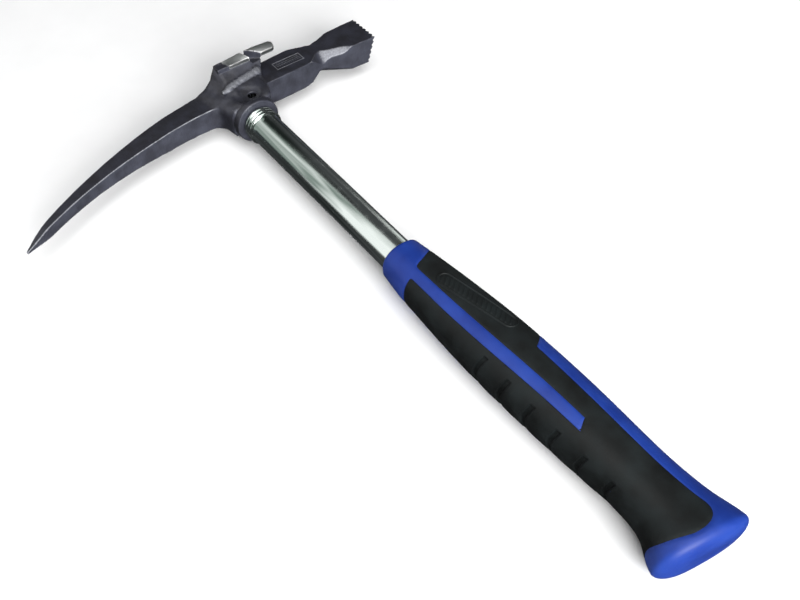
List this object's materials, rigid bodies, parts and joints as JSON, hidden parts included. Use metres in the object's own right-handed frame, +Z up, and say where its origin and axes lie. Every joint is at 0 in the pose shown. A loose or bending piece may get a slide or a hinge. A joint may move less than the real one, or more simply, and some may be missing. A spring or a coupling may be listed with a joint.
{
  "type": "pick hammer",
  "caption": "Rock and roofing pick hammer: long curved pick, square striking poll with waist, side nail claw, tubular steel shaft and two-part moulded grip.",
  "frame": {"origin": "centre of the bounding box on the surface that the hammer lies on, claw side up", "axes": "+X from the pick's point to the striking face, +Y along the shaft from the butt to the top of the head, +Z up out of the cheek that carries the nail claw"},
  "size_m": [0.2346, 0.3556, 0.0369],
  "materials": {
    "forged_head": "drop-forged carbon steel under thin dark grey lacquer, claw edges ground bright",
    "chromed_tube": "bright chromed tube with light drawing marks",
    "bright_steel": "bare steel, oiled",
    "blue_core": "satin moulded polypropylene",
    "soft_cover": "matt moulded thermoplastic rubber",
    "grey_plug": "moulded"
  },
  "bodies": {
    "root": {"head": "forged_head", "shaft_tube": "chromed_tube", "expander_plug": "bright_steel", "spring_pin": "bright_steel", "grip_core": "blue_core", "grip_cover": "soft_cover", "tube_end_plug": "grey_plug"}
  },
  "joints": []
}
